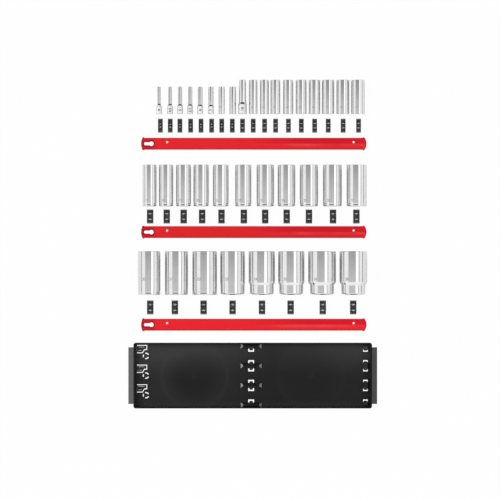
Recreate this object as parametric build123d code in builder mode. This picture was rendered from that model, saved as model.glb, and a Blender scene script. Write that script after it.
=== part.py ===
from build123d import *
import os
from typing import NamedTuple

os.makedirs("parts", exist_ok=True)

# A set of deep sockets laid out in three rows in front of one another. Each row has its
# sockets, the clips that hold them and the rail that the clips slide on. The tray that the
# three rails lock into lies in front. Everything rests on one surface at height zero, sizes
# are in millimetres, +X runs along the rails and +Y points away from the tray.

# Square drives of the sockets, a little wider than the shanks that go into them.
quarter_drive = 6.42
three_eighths_drive = 9.6
half_drive = 12.78
post_clearance = 0.38

# Quarter-inch sockets: length, square's depth, hub at the drive end, flats and nut-end diameters.
quarter_length = 50.8
quarter_square_depth = 9.0
quarter_hub_diameter = 10.9
quarter_hub_length = 14.7
quarter_neck_length = 5.2
quarter_names = ("4", "4_5", "5", "5_5", "6", "7", "8", "9")
quarter_flats = (4.0, 4.5, 5.0, 5.5, 6.0, 7.0, 8.0, 9.0)
quarter_diameters = (6.4, 6.8, 7.5, 7.9, 8.9, 9.7, 11.7, 12.4)

# Three-eighths sockets, straight but for the first.
three_eighths_length = 63.5
three_eighths_square_depth = 12.0
three_eighths_hub_diameter = 15.7
three_eighths_hub_length = 18.6
three_eighths_neck_length = 3.8
three_eighths_names = ("10", "11", "12", "13", "14", "15", "16", "17", "18", "19")
three_eighths_flats = (10.0, 11.0, 12.0, 13.0, 14.0, 15.0, 16.0, 17.0, 18.0, 19.0)
three_eighths_diameters = (13.3, 15.8, 16.6, 18.0, 18.8, 20.0, 21.2, 22.8, 23.8, 25.1)

# Half-inch sockets of the middle row, straight.
half_length = 77.2
half_square_depth = 16.0
half_names = ("17", "18", "19", "20", "21", "22", "23", "24", "25", "26", "27")
half_flats = (17.0, 18.0, 19.0, 20.0, 21.0, 22.0, 23.0, 24.0, 25.0, 26.0, 27.0)
half_diameters = (26.2, 26.6, 27.7, 28.5, 29.3, 30.2, 32.3, 32.6, 34.0, 35.2, 37.0)

# Large half-inch sockets of the front row. The widest neck down to a hub, the rest are straight.
large_length = 80.8
large_square_depth = 16.0
large_hub_diameter = 44.1
large_hub_length = 19.3
large_neck_length = 5.4
large_least_step = 3.0
large_names = ("30", "31", "32", "33", "34", "35", "36", "38")
large_flats = (30.0, 31.0, 32.0, 33.0, 34.0, 35.0, 36.0, 38.0)
large_diameters = (41.6, 42.8, 45.6, 45.7, 48.6, 48.8, 51.6, 51.1)

# Rails: an extrusion with a web on two legs, whose edges overhang as flanges for the clips. Its
# ends are arcs with rounded corners, flatter at the left.
rail_length = 418.0
rail_width = 22.0
rail_web = 2.4
rail_leg_height = 3.8
rail_leg_thickness = 1.8
rail_flange = 2.6
rail_left_sag = 2.6
rail_right_sag = 4.2
rail_left_round = 0.7
rail_right_round = 1.8
rail_stop_width = 23.8
rail_stop_length = 3.2
rail_stop_drop = 0.5

# Keyhole at the left end of a rail, in a shallow recess, and the two screw holes.
keyhole_slot_width = 5.7
keyhole_diameter = 8.5
keyhole_narrow_inset = 8.1
keyhole_run = 10.9
keyhole_recess_margin = 1.8
keyhole_recess_depth = 1.3
screw_hole_diameter = 3.8
screw_hole_offset = 3.0
screw_hole_left_inset = 48.1
screw_hole_right_inset = 23.9

# Clips: a plate over the rail, sloped at both ends, end walls and lips that wrap the rail's
# flanges, and a square post.
clip_plate = 2.0
clip_wall = 1.7
clip_lip = 1.6
clip_lip_reach = 1.7
clip_clearance = 0.3
clip_end_slope = 2.2
clip_end_drop = 1.1
quarter_post_height = 8.0
three_eighths_post_height = 11.0
half_post_height = 14.0
post_tip_chamfer = 1.1

# Two sprung leaves in grooves at the front and back of each post, bent out to ridges that snap
# into the socket's square.
quarter_leaf_width = 3.0
three_eighths_leaf_width = 4.4
half_leaf_width = 5.4
leaf_thickness = 0.7
leaf_bend = 0.55
leaf_travel = 0.6
leaf_side_clearance = 0.15
leaf_end_share = 0.16
leaf_bend_share = 0.56

# Tray: walls, a floor raised for the latches to flex under it, and the sloped grips at its ends.
tray_length = 442.4
tray_depth = 121.8
tray_height = 16.0
tray_wall = 2.8
tray_corner_radius = 4.2
tray_floor = 2.5
tray_floor_clearance = 3.2
channel_pitch = 36.45
grip_reach = 9.4
grip_width = 105.2
grip_thickness = 2.4
grip_drop = 5.5

# Hipped ridges between the channels at the middle, and the hooks that hold the rails' flanges.
# A hook's top slopes down to its tip, so that a rail pressed on it springs it aside.
ridge_length = 39.7
ridge_width = 10.2
ridge_height = 10.2
ridge_crown = 0.9
ridge_hip_run = 6.2
hook_station_x = -3.0
hook_width = 6.9
hook_thickness = 2.0
hook_tip_thickness = 0.7
hook_reach = 8.0
hook_corner = 2.0
hook_clearance = 0.3
hook_window_near = 4.9
hook_window_far = 10.4
hook_window_width = 10.9
end_hook_inset = 12.2
end_hook_width = 8.2
end_hook_reach = 8.4
end_hook_corner = 2.6
end_hook_window_width = 8.5

# Stud that goes through a rail's keyhole, above three windows with spokes between them.
stud_inset = 23.2
stud_neck_diameter = 5.2
stud_head_diameter = 7.8
stud_head_thickness = 1.2
stud_clearance = 0.3
stud_window_diameter = 11.8
stud_spoke_width = 4.0
stud_spoke_turns = (0, 130, 230)

# Latch beside each stud: a tongue cut out of the floor, stepped to a finger pad, with two ribs.
latch_root_inset = 7.4
latch_offset = 5.9
latch_length = 17.2
latch_width = 13.5
latch_pad_width = 7.6
latch_pad_length = 4.4
latch_nose_length = 3.5
latch_slot = 1.6
latch_root_clearance = 0.3
latch_rib_width = 1.4
latch_rib_height = 1.6
latch_rib_start = 1.8
latch_rib_ends = (12.4, 8.2)
latch_rib_offsets = (10.4, 4.4)

# The layout: gaps between pieces from the tray to the back row, front row first.
rail_gaps = (22.4, 24.5, 27.9)
clip_gaps = (8.1, 4.9, 9.6)
socket_gaps = (10.4, 5.8, 8.5)
rail_offset = 2.0
row_offsets = (-0.5, 3.2, 14.2)

# Each gap between neighbouring sockets, as a share of the usual one.
side_gap = 8.0
front_gap_shares = (1.05, 1.01, 0.76, 0.88, 0.73, 0.86, 0.81)
middle_gap_shares = (0.55, 0.65, 0.56, 0.95, 1.48, 1.21, 0.86, 1.04, 1.10, 1.10)
back_gap_shares = (
    1.20, 0.95, 0.98, 0.96, 1.13, 1.08, 1.06, 0.49,
    0.52, 0.57, 0.39, 0.65, 0.59, 0.51, 0.40, 0.52, 0.44,
)

# How far each clip lies to the right of its socket's axis, as a share of the clip's width.
front_slip_shares = (0.16, -0.25, -0.17, 0.0, 0.03, -0.09, 0.12, 0.0)
middle_slip_shares = (0.10, 0.10, 0.02, 0.16, 0.11, 0.10, -0.02, 0.03, 0.0, 0.10, -0.03)
quarter_slip_shares = (0.28, 0.03, -0.04, 0.09, 0.17, 0.14, 0.0, -0.10)
three_eighths_slip_shares = (0.01, 0.0, 0.04, 0.04, 0.06, 0.04, 0.04, 0.04, 0.06, 0.13)

# Lengths that follow from the sizes above.
rail_height = rail_leg_height + rail_web
clip_channel = rail_web + clip_clearance
clip_length = rail_width + 2 * (clip_clearance + clip_wall)
clip_base_height = clip_plate + clip_channel + clip_lip
floor_top = tray_floor_clearance + tray_floor
row_socket_lengths = (large_length, half_length, max(quarter_length, three_eighths_length))
row_fixed_depth = rail_width + clip_length
total_depth = tray_depth + sum(rail_gaps) + sum(clip_gaps) + sum(socket_gaps)
total_depth += len(row_socket_lengths) * row_fixed_depth + sum(row_socket_lengths)
front_edge = -total_depth / 2
tray_centre_y = front_edge + tray_depth / 2

# Where the rail, the clips and the sockets' drive ends of each row lie, front row first.
rail_centres = []
clip_centres = []
drive_ends = []
edge = front_edge + tray_depth
for rail_gap, clip_gap, socket_gap, length in zip(
    rail_gaps, clip_gaps, socket_gaps, row_socket_lengths
):
    rail_centres.append(edge + rail_gap + rail_width / 2)
    clip_centres.append(edge + rail_gap + rail_width + clip_gap + clip_length / 2)
    drive_ends.append(edge + rail_gap + row_fixed_depth + clip_gap + socket_gap)
    edge = drive_ends[-1] + length


def side_by_side(widths, gap_shares, centre):
    """Centres along X of pieces that lie side by side, apart by shares of the usual gap."""
    gaps = [share * side_gap for share in gap_shares] + [0]
    left = centre - (sum(widths) + sum(gaps)) / 2
    centres = []
    for width, gap in zip(widths, gaps):
        centres.append(left + width / 2)
        left += width + gap
    return centres


def write(piece, name):
    """Labels a finished piece and writes it under its own name."""
    piece.part.label = name
    export_step(piece.part, f"parts/{name}.step")


class Family(NamedTuple):
    """What the sockets of one family share. The lengths run from the drive end."""

    drive: float
    length: float
    square_depth: float
    hub_length: float
    neck_length: float


def socket(name, family, centre_x, drive_end, flats, nut, hub):
    """A deep socket on its side: a turned body, a hexagon from the nut end and a square drive.

    The body is turned about a level axis at the height of its widest radius. Where the hub's
    diameter isn't the nut end's, a cone joins the two. The hexagon runs down to the square.
    """
    axis_height = max(nut, hub) / 2
    nut_end = drive_end + family.length
    hub_end = drive_end + family.hub_length
    hub_top = axis_height + hub / 2
    nut_top = axis_height + nut / 2
    outline = [(drive_end, axis_height), (drive_end, hub_top)]
    if hub != nut:
        outline.append((hub_end, hub_top))
        outline.append((hub_end + family.neck_length, nut_top))
    outline += [(nut_end, nut_top), (nut_end, axis_height)]
    with BuildPart() as body:
        with BuildSketch(Plane.YZ.offset(centre_x)):
            with BuildLine():
                Polyline(*outline, close=True)
            make_face()
        revolve(axis=Axis((centre_x, 0, axis_height), (0, 1, 0)))
        nut_face = Plane((centre_x, nut_end, axis_height), x_dir=(1, 0, 0), z_dir=(0, -1, 0))
        with BuildSketch(nut_face):
            RegularPolygon(flats / 2, 6, major_radius=False)
        extrude(amount=family.length - family.square_depth, mode=Mode.SUBTRACT)
        drive_face = Plane((centre_x, drive_end, axis_height), x_dir=(1, 0, 0), z_dir=(0, 1, 0))
        with BuildSketch(drive_face):
            Rectangle(family.drive, family.drive)
        extrude(amount=family.square_depth, mode=Mode.SUBTRACT)
    write(body, name)


def clip_group(name, centres, centre_y, base_width, post_size, post_height, leaf_width):
    """Clips of one drive: each a base that wraps the rail's flanges under a square post."""
    reach = clip_length / 2
    shoulder = clip_base_height - clip_end_drop
    lip_edge = reach - clip_wall - clip_lip_reach
    with BuildPart() as clips:
        for centre in centres:
            with BuildSketch(Plane.YZ.offset(centre - base_width / 2)):
                with BuildLine():
                    outer = [
                        (lip_edge, 0),
                        (reach, 0),
                        (reach, shoulder),
                        (reach - clip_end_slope, clip_base_height),
                    ]
                    inner = [
                        (reach - clip_wall, clip_base_height - clip_plate),
                        (reach - clip_wall, clip_lip),
                        (lip_edge, clip_lip),
                    ]
                    outside = [(centre_y + y, z) for y, z in outer]
                    outside += [(centre_y - y, z) for y, z in reversed(outer)]
                    inside = [(centre_y - y, z) for y, z in reversed(inner)]
                    inside += [(centre_y + y, z) for y, z in inner]
                    Polyline(*outside, *inside, close=True)
                make_face()
            extrude(amount=base_width)
        with BuildSketch(Plane.XY.offset(clip_base_height)):
            with Locations(*[(centre, centre_y) for centre in centres]):
                Rectangle(post_size, post_size)
        extrude(amount=post_height)
        chamfer(clips.edges().group_by(Axis.Z)[-1], length=post_tip_chamfer)
        groove_depth = leaf_thickness + leaf_travel + leaf_side_clearance
        groove_width = leaf_width + 2 * leaf_side_clearance
        faces = (centre_y - post_size / 2, centre_y + post_size / 2)
        with BuildSketch(Plane.XY.offset(clip_base_height)):
            with Locations(*[(centre, face) for centre in centres for face in faces]):
                Rectangle(groove_width, 2 * groove_depth)
        extrude(amount=post_height, mode=Mode.SUBTRACT)
    write(clips, name)


def leaf_group(name, centres, centre_y, side, post_size, post_height, leaf_width):
    """Leaf springs on one side of the posts of one drive: each in its groove, bent to a ridge."""
    face = centre_y + side * post_size / 2
    inner = face - side * leaf_thickness
    ridge = face + side * leaf_bend
    low = clip_base_height + leaf_end_share * post_height
    high = clip_base_height + (1 - leaf_end_share) * post_height
    middle = clip_base_height + leaf_bend_share * post_height
    with BuildPart() as leaves:
        for centre in centres:
            with BuildSketch(Plane.YZ.offset(centre - leaf_width / 2)):
                with BuildLine():
                    Polyline((inner, low), (ridge, middle), (inner, high), close=True)
                make_face()
            extrude(amount=leaf_width)
    write(leaves, name)


def rail(name, centre_y):
    """A rail: its section run along X, its ends cut to arcs, with clip stops and a keyhole."""
    half_width = rail_width / 2
    leg_outside = half_width - rail_flange
    leg_inside = leg_outside - rail_leg_thickness
    left_tip = rail_offset - rail_length / 2
    right_tip = rail_offset + rail_length / 2
    left_corner = left_tip + rail_left_sag
    right_corner = right_tip - rail_right_sag
    upper = centre_y + rail_stop_width / 2
    lower = centre_y - rail_stop_width / 2
    narrow_x = left_tip + keyhole_narrow_inset
    round_x = narrow_x + keyhole_run
    with BuildPart() as body:
        with BuildSketch(Plane.YZ.offset(left_tip)):
            with BuildLine():
                Polyline(
                    (centre_y + half_width, rail_height),
                    (centre_y + half_width, rail_leg_height),
                    (centre_y + leg_outside, rail_leg_height),
                    (centre_y + leg_outside, 0),
                    (centre_y + leg_inside, 0),
                    (centre_y + leg_inside, rail_leg_height),
                    (centre_y - leg_inside, rail_leg_height),
                    (centre_y - leg_inside, 0),
                    (centre_y - leg_outside, 0),
                    (centre_y - leg_outside, rail_leg_height),
                    (centre_y - half_width, rail_leg_height),
                    (centre_y - half_width, rail_height),
                    close=True,
                )
            make_face()
        extrude(amount=rail_length)
        with BuildSketch() as plan:
            with BuildLine():
                Line((left_corner, upper), (right_corner, upper))
                ThreePointArc((right_corner, upper), (right_tip, centre_y), (right_corner, lower))
                Line((right_corner, lower), (left_corner, lower))
                ThreePointArc((left_corner, lower), (left_tip, centre_y), (left_corner, upper))
            make_face()
            plan_corners = plan.vertices().sort_by(Axis.X)
            fillet(plan_corners[:2], radius=rail_left_round)
            fillet(plan_corners[-2:], radius=rail_right_round)
        extrude(amount=rail_height, mode=Mode.INTERSECT)
        for tip, corner, stop, rounding in (
            (left_tip, left_corner, rail_stop_length, rail_left_round),
            (right_tip, right_corner, -rail_stop_length, rail_right_round),
        ):
            with BuildSketch(Plane.XY.offset(rail_leg_height)) as bar:
                with BuildLine():
                    Line((corner, lower), (corner + stop, lower))
                    Line((corner + stop, lower), (corner + stop, upper))
                    Line((corner + stop, upper), (corner, upper))
                    ThreePointArc((corner, upper), (tip, centre_y), (corner, lower))
                make_face()
                bar_corners = bar.vertices().sort_by(Axis.X)
                fillet(bar_corners[:2] if stop > 0 else bar_corners[-2:], radius=rounding)
            extrude(amount=rail_web - rail_stop_drop)
        with BuildSketch(Plane.XY.offset(rail_height)):
            recess_radius = keyhole_slot_width / 2 + keyhole_recess_margin
            with Locations((round_x, centre_y)):
                Circle(keyhole_diameter / 2 + keyhole_recess_margin)
            with Locations(((narrow_x + round_x) / 2, centre_y)):
                SlotCenterToCenter(keyhole_run, 2 * recess_radius)
        extrude(amount=-keyhole_recess_depth, mode=Mode.SUBTRACT)
        with BuildSketch(Plane.XY.offset(rail_height)):
            with Locations((round_x, centre_y)):
                Circle(keyhole_diameter / 2)
            with Locations(((narrow_x + round_x) / 2, centre_y)):
                SlotCenterToCenter(keyhole_run, keyhole_slot_width)
            with Locations(
                (left_tip + screw_hole_left_inset, centre_y + screw_hole_offset),
                (right_tip - screw_hole_right_inset, centre_y + screw_hole_offset),
            ):
                Circle(screw_hole_diameter / 2)
        extrude(amount=-rail_height, mode=Mode.SUBTRACT)
    write(body, name)


def latch_outline(centre_y):
    """The middle line of the slot round a latch, seen from above, from its root."""
    root = -tray_length / 2 + latch_root_inset
    low = centre_y + latch_offset
    high = low + latch_width
    tip = root + latch_length
    step = tip - latch_pad_length
    return [
        (root, high),
        (tip, high),
        (tip, high - latch_pad_width),
        (step, high - latch_pad_width),
        (step - latch_nose_length, low),
        (root, low),
    ]


def latch(name, centre_y):
    """A latch: the tongue inside its slot, which bends down at its root, with two stop ribs."""
    root = -tray_length / 2 + latch_root_inset
    low = centre_y + latch_offset
    root_end = root - latch_slot / 2 + latch_root_clearance
    root_width = latch_width - latch_slot
    with BuildPart() as tongue:
        with BuildSketch(Plane.XY.offset(tray_floor_clearance)):
            with BuildLine():
                Polyline(*latch_outline(centre_y), close=True)
            make_face()
            offset(amount=-latch_slot / 2, kind=Kind.INTERSECTION)
            with Locations((root_end, low + latch_width / 2)):
                Rectangle(latch_slot, root_width, align=(Align.MIN, Align.CENTER))
        extrude(amount=tray_floor)
        with BuildSketch(Plane.XY.offset(floor_top)):
            for rib_end, rib_offset in zip(latch_rib_ends, latch_rib_offsets):
                with Locations((root + latch_rib_start, low + rib_offset)):
                    Rectangle(
                        rib_end - latch_rib_start, latch_rib_width, align=(Align.MIN, Align.CENTER)
                    )
        extrude(amount=latch_rib_height)
    write(tongue, name)


# Sockets of the front row. Each one is a node, named for its drive and its size.
large_family = Family(
    drive=half_drive,
    length=large_length,
    square_depth=large_square_depth,
    hub_length=large_hub_length,
    neck_length=large_neck_length,
)
large_places = side_by_side(large_diameters, front_gap_shares, row_offsets[0])
for size, place, flats, nut in zip(large_names, large_places, large_flats, large_diameters):
    hub = large_hub_diameter if nut - large_hub_diameter > large_least_step else nut
    socket(f"half_inch_socket_{size}", large_family, place, drive_ends[0], flats, nut, hub)

# Sockets of the middle row, straight from end to end.
half_family = Family(
    drive=half_drive,
    length=half_length,
    square_depth=half_square_depth,
    hub_length=0,
    neck_length=0,
)
half_places = side_by_side(half_diameters, middle_gap_shares, row_offsets[1])
for size, place, flats, nut in zip(half_names, half_places, half_flats, half_diameters):
    socket(f"half_inch_socket_{size}", half_family, place, drive_ends[1], flats, nut, nut)

# Sockets of the back row: the quarter-inch ones at the left, then the three-eighths ones.
quarter_family = Family(
    drive=quarter_drive,
    length=quarter_length,
    square_depth=quarter_square_depth,
    hub_length=quarter_hub_length,
    neck_length=quarter_neck_length,
)
three_eighths_family = Family(
    drive=three_eighths_drive,
    length=three_eighths_length,
    square_depth=three_eighths_square_depth,
    hub_length=three_eighths_hub_length,
    neck_length=three_eighths_neck_length,
)
quarter_hubs = [max(nut, quarter_hub_diameter) for nut in quarter_diameters]
three_eighths_hubs = [max(nut, three_eighths_hub_diameter) for nut in three_eighths_diameters]
back_places = side_by_side(quarter_hubs + three_eighths_hubs, back_gap_shares, row_offsets[2])
quarter_places = back_places[: len(quarter_hubs)]
three_eighths_places = back_places[len(quarter_hubs) :]
for size, place, flats, nut, hub in zip(
    quarter_names, quarter_places, quarter_flats, quarter_diameters, quarter_hubs
):
    socket(f"quarter_inch_socket_{size}", quarter_family, place, drive_ends[2], flats, nut, hub)
for size, place, flats, nut, hub in zip(
    three_eighths_names,
    three_eighths_places,
    three_eighths_flats,
    three_eighths_diameters,
    three_eighths_hubs,
):
    name = f"three_eighths_socket_{size}"
    socket(name, three_eighths_family, place, drive_ends[2], flats, nut, hub)

# Clips and their leaves, one group for each family, each clip in front of its own socket. The
# clips of a row are as wide as its largest post.
quarter_post = quarter_drive - 2 * post_clearance
three_eighths_post = three_eighths_drive - 2 * post_clearance
half_post = half_drive - 2 * post_clearance
for family, places, slips, centre_y, base_width, post, post_height, leaf_width in (
    ("large_half_inch", large_places, front_slip_shares, clip_centres[0], half_post, half_post,
     half_post_height, half_leaf_width),
    ("half_inch", half_places, middle_slip_shares, clip_centres[1], half_post, half_post,
     half_post_height, half_leaf_width),
    ("quarter_inch", quarter_places, quarter_slip_shares, clip_centres[2], three_eighths_post,
     quarter_post, quarter_post_height, quarter_leaf_width),
    ("three_eighths", three_eighths_places, three_eighths_slip_shares, clip_centres[2],
     three_eighths_post, three_eighths_post, three_eighths_post_height, three_eighths_leaf_width),
):
    centres = [place + slip * base_width for place, slip in zip(places, slips)]
    clip_group(f"{family}_clips", centres, centre_y, base_width, post, post_height, leaf_width)
    for group, side in (("leaves", 1), ("near_leaves", -1)):
        name = f"{family}_{group}"
        leaf_group(name, centres, centre_y, side, post, post_height, leaf_width)

# Rails and latches, one of each for a row, front row first.
channel_centres = [tray_centre_y + step * channel_pitch for step in (-1, 0, 1)]
for row, rail_centre, channel_centre in zip(
    ("front", "middle", "back"), rail_centres, channel_centres
):
    rail(f"{row}_rail", rail_centre)
    latch(f"{row}_latch", channel_centre)

# The tray: one moulding with its walls, floor, grips, ridges, hooks and studs.
inner_length = tray_length - 2 * tray_wall
inner_depth = tray_depth - 2 * tray_wall
ridge_centres = [tray_centre_y + step * channel_pitch / 2 for step in (-3, -1, 1, 3)]
hook_roots = [(ridge_centre, 1) for ridge_centre in ridge_centres[:-1]]
hook_roots += [(ridge_centre, -1) for ridge_centre in ridge_centres[1:]]
with BuildPart() as tray:
    with BuildSketch():
        with Locations((0, tray_centre_y)):
            RectangleRounded(tray_length, tray_depth, tray_corner_radius)
    extrude(amount=tray_height)
    with BuildSketch(Plane.XY.offset(floor_top)):
        with Locations((0, tray_centre_y)):
            Rectangle(inner_length, inner_depth)
    extrude(amount=tray_height - floor_top, mode=Mode.SUBTRACT)
    with BuildSketch():
        with Locations((0, tray_centre_y)):
            Rectangle(inner_length, inner_depth)
    extrude(amount=tray_floor_clearance, mode=Mode.SUBTRACT)

    # The grips slope down and out from the rim, one at each end.
    for side in (-1, 1):
        with BuildSketch(Plane.XZ.offset(-(tray_centre_y - grip_width / 2))):
            with BuildLine():
                inside = side * (tray_length - tray_wall) / 2
                outside = side * (tray_length / 2 + grip_reach)
                Polyline(
                    (inside, tray_height),
                    (outside, tray_height - grip_drop),
                    (outside, tray_height - grip_drop - grip_thickness),
                    (inside, tray_height - grip_thickness),
                    close=True,
                )
            make_face()
        extrude(amount=-grip_width)

    # Hipped ridges between the channels, then the hooks on them and near the right end.
    crown_length = ridge_length - 2 * ridge_hip_run
    for ridge_centre in ridge_centres:
        with BuildSketch(Plane.XY.offset(floor_top)):
            with Locations((hook_station_x, ridge_centre)):
                Rectangle(ridge_length, ridge_width)
        with BuildSketch(Plane.XY.offset(floor_top + ridge_height)):
            with Locations((hook_station_x, ridge_centre)):
                Rectangle(crown_length, ridge_crown)
        loft(ruled=True)
    hook_base = floor_top + rail_height + hook_clearance
    window_depth = hook_window_far - hook_window_near
    end_station = tray_length / 2 - end_hook_inset
    for station_x, width, reach, corner, window_width in (
        (hook_station_x, hook_width, hook_reach, hook_corner, hook_window_width),
        (end_station, end_hook_width, end_hook_reach, end_hook_corner, end_hook_window_width),
    ):
        for root_y, side in hook_roots:
            with BuildSketch(Plane.YZ.offset(station_x - width / 2)):
                with BuildLine():
                    Polyline(
                        (root_y, floor_top - tray_floor / 2),
                        (root_y + side * hook_window_near, floor_top - tray_floor / 2),
                        (root_y + side * hook_window_near, hook_base),
                        (root_y + side * reach, hook_base),
                        (root_y + side * reach, hook_base + hook_tip_thickness),
                        (root_y + side * hook_window_near, hook_base + hook_thickness),
                        (root_y, hook_base + hook_thickness),
                        close=True,
                    )
                make_face()
            extrude(amount=width)
            with BuildSketch(Plane.XY.offset(hook_base)):
                for end in (-1, 1):
                    with Locations((station_x + end * width / 2, root_y + side * reach)):
                        Rectangle(2 * corner, 2 * corner)
                    round_x = station_x + end * (width / 2 - corner)
                    with Locations((round_x, root_y + side * (reach - corner))):
                        Circle(corner, mode=Mode.SUBTRACT)
            extrude(amount=hook_thickness, mode=Mode.SUBTRACT)
            window_y = root_y + side * (hook_window_near + window_depth / 2)
            with BuildSketch(Plane.XY.offset(tray_floor_clearance)):
                with Locations((station_x, window_y)):
                    Rectangle(window_width, window_depth)
            extrude(amount=hook_base - tray_floor_clearance, mode=Mode.SUBTRACT)

    # Studs, each above its windows, and the slots round the latches.
    stud_x = -tray_length / 2 + stud_inset
    stud_neck_height = rail_height - keyhole_recess_depth + stud_clearance
    for channel_centre in channel_centres:
        with BuildSketch(Plane.XY.offset(tray_floor_clearance)):
            with Locations((stud_x, channel_centre)):
                Circle(stud_window_diameter / 2)
                Circle(stud_neck_diameter / 2, mode=Mode.SUBTRACT)
                for turn in stud_spoke_turns:
                    Rectangle(
                        stud_window_diameter,
                        stud_spoke_width,
                        rotation=turn,
                        align=(Align.MIN, Align.CENTER),
                        mode=Mode.SUBTRACT,
                    )
        extrude(amount=tray_floor, mode=Mode.SUBTRACT)
        with BuildSketch(Plane.XY.offset(tray_floor_clearance)):
            with Locations((stud_x, channel_centre)):
                Circle(stud_neck_diameter / 2)
        extrude(amount=tray_floor + stud_neck_height)
        with BuildSketch(Plane.XY.offset(floor_top + stud_neck_height)):
            with Locations((stud_x, channel_centre)):
                Circle(stud_head_diameter / 2)
        extrude(amount=stud_head_thickness)
        with BuildSketch(Plane.XY.offset(tray_floor_clearance)):
            with BuildLine():
                Polyline(*latch_outline(channel_centre), close=True)
            make_face()
            offset(amount=latch_slot / 2, kind=Kind.INTERSECTION)
        extrude(amount=tray_floor, mode=Mode.SUBTRACT)
write(tray, "tray")
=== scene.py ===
from math import pi, radians

import bmesh
import bpy
import numpy as np
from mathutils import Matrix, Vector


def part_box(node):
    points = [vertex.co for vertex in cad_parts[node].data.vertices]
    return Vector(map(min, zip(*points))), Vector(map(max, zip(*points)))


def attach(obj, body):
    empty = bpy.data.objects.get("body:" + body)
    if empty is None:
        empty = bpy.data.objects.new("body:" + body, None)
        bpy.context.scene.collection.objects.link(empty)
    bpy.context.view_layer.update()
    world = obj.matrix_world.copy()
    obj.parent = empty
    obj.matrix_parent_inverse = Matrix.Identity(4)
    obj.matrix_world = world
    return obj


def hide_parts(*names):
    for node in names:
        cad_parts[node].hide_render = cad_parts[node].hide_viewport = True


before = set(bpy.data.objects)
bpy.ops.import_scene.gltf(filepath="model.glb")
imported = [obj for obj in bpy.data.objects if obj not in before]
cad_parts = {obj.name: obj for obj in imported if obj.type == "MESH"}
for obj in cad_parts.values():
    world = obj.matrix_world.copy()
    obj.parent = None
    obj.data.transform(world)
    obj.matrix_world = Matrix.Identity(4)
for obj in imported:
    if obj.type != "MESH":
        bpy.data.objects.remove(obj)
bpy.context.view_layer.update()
mm = 0.001

# The camera hangs straight above the flat lay, far enough up that the pieces show no sides,
# as in the photograph. A pixel of the picture is the same real length all over the layout.
pixel = 1.855 * mm
picture_pixels = 500
layout_centre = (-5.1 * mm, -10.9 * mm)
camera_height = 25.0
camera = bpy.data.objects.new("camera", bpy.data.cameras.new("camera"))
camera.data.lens = camera.data.sensor_width * camera_height / (picture_pixels * pixel)
camera.data.clip_start = camera_height / 100
camera.data.clip_end = camera_height * 100
camera.location = (*layout_centre, camera_height)
bpy.context.scene.collection.objects.link(camera)
bpy.context.scene.camera = camera


# The tray is one injection moulding in black ABS: walls, floor, finger grips, ridges, hooks
# and studs come out of the mould together. The strips at the ends of its floor are spark
# eroded to a grain. The grips, the ridges' ends and their sloped sides are painted paler,
# a painted sheen and highlight.
weld_step = 0.001 * mm
tray_edge_radius = 0.2 * mm
tray_dark = "161617"
tray_pale = "363637"
tray_rim = "0B0B0C"
tray_left_grip = "666667"
tray_right_grip = "505051"
ridge_side_dark = "242425"
ridge_side_pale = "303031"
ridge_end_dark = "8A8A8C"
ridge_end_pale = "B4B4B5"
ridge_end_heights = (5.9 * mm, 7.2 * mm, 12.2 * mm, 14.8 * mm)
ridge_slopes = (0.2, 0.95)
ridge_end_lean = 0.7
ridge_side_lean = 0.3
tray_roughness = (0.36, 0.6)
tray_grain = 0.45 * mm
tray_grain_depth = 0.02 * mm
tray_rim_depth = 1 * mm
tray_end_strip = 27 * mm
tray_strip_grain = 1.3 * mm
tray_strip_depth = 0.5 * mm
tray_grip_line = 2.4 * mm
tray_grip_line_share = 0.72
tray_grip_start = 221 * mm
tray_pale_middle = 36 * mm
tray_pale_reach = 190 * mm
tray_pale_start = 0.42
tray_middle_share = 0.3
tray_front_pale = (5 * mm, 15 * mm)
tray_front_share = 0.35
gate_place = 108 * mm
gate_spot = 10 * mm
gate_spot_share = 0.12
gate_blush = (24 * mm, 58 * mm)
gate_blush_share = 0.3
gate_ring = 61 * mm
gate_ring_width = 7 * mm
gate_ring_share = 0.15
gates_apart = 40 * mm
right_gate_share = 0.35


def merged(node, name):
    """A new piece with a node's shape: corners that lie together are one, flat faces are whole.

    Corners are rounded to a whole number of small steps and the equal ones are taken once.
    """
    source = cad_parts[node].data
    corners = np.empty(3 * len(source.vertices), np.float32)
    source.vertices.foreach_get("co", corners)
    order = np.empty(len(source.loops), np.int32)
    source.loops.foreach_get("vertex_index", order)
    steps = np.round(corners.reshape(-1, 3) / weld_step).astype(np.int64)
    places, back = np.unique(steps, axis=0, return_inverse=True)
    faces = back.reshape(-1)[order].reshape(-1, 3)
    whole = (faces[:, 0] != faces[:, 1]) & (faces[:, 1] != faces[:, 2])
    whole &= faces[:, 2] != faces[:, 0]
    mesh = bpy.data.meshes.new(name)
    mesh.from_pydata(places * weld_step, [], faces[whole].tolist())
    work = bmesh.new()
    work.from_mesh(mesh)
    bmesh.ops.dissolve_limit(
        work, angle_limit=radians(1), verts=work.verts[:], edges=work.edges[:]
    )
    work.to_mesh(mesh)
    work.free()
    mesh.update()
    piece = bpy.data.objects.new(name, mesh)
    bpy.context.scene.collection.objects.link(piece)
    return piece


def soften_edges(piece, radius, least_turn=35):
    """Rounds the edges where two faces turn by more than an angle, and shades it smooth."""
    piece.data.shade_smooth()
    piece.data.set_sharp_from_angle(angle=radians(least_turn))
    bevel = piece.modifiers.new("rounded edges", "BEVEL")
    bevel.width = radius
    bevel.segments = 2
    bevel.limit_method = "ANGLE"
    bevel.angle_limit = radians(least_turn)
    bevel.harden_normals = True


def faces_of(piece):
    """The directions and the middles of a piece's faces, one row of X, Y and Z for each."""
    rows = np.empty((2, 3 * len(piece.data.polygons)), np.float32)
    piece.data.polygons.foreach_get("normal", rows[0])
    piece.data.polygons.foreach_get("center", rows[1])
    return rows[0].reshape(-1, 3), rows[1].reshape(-1, 3)


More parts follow.
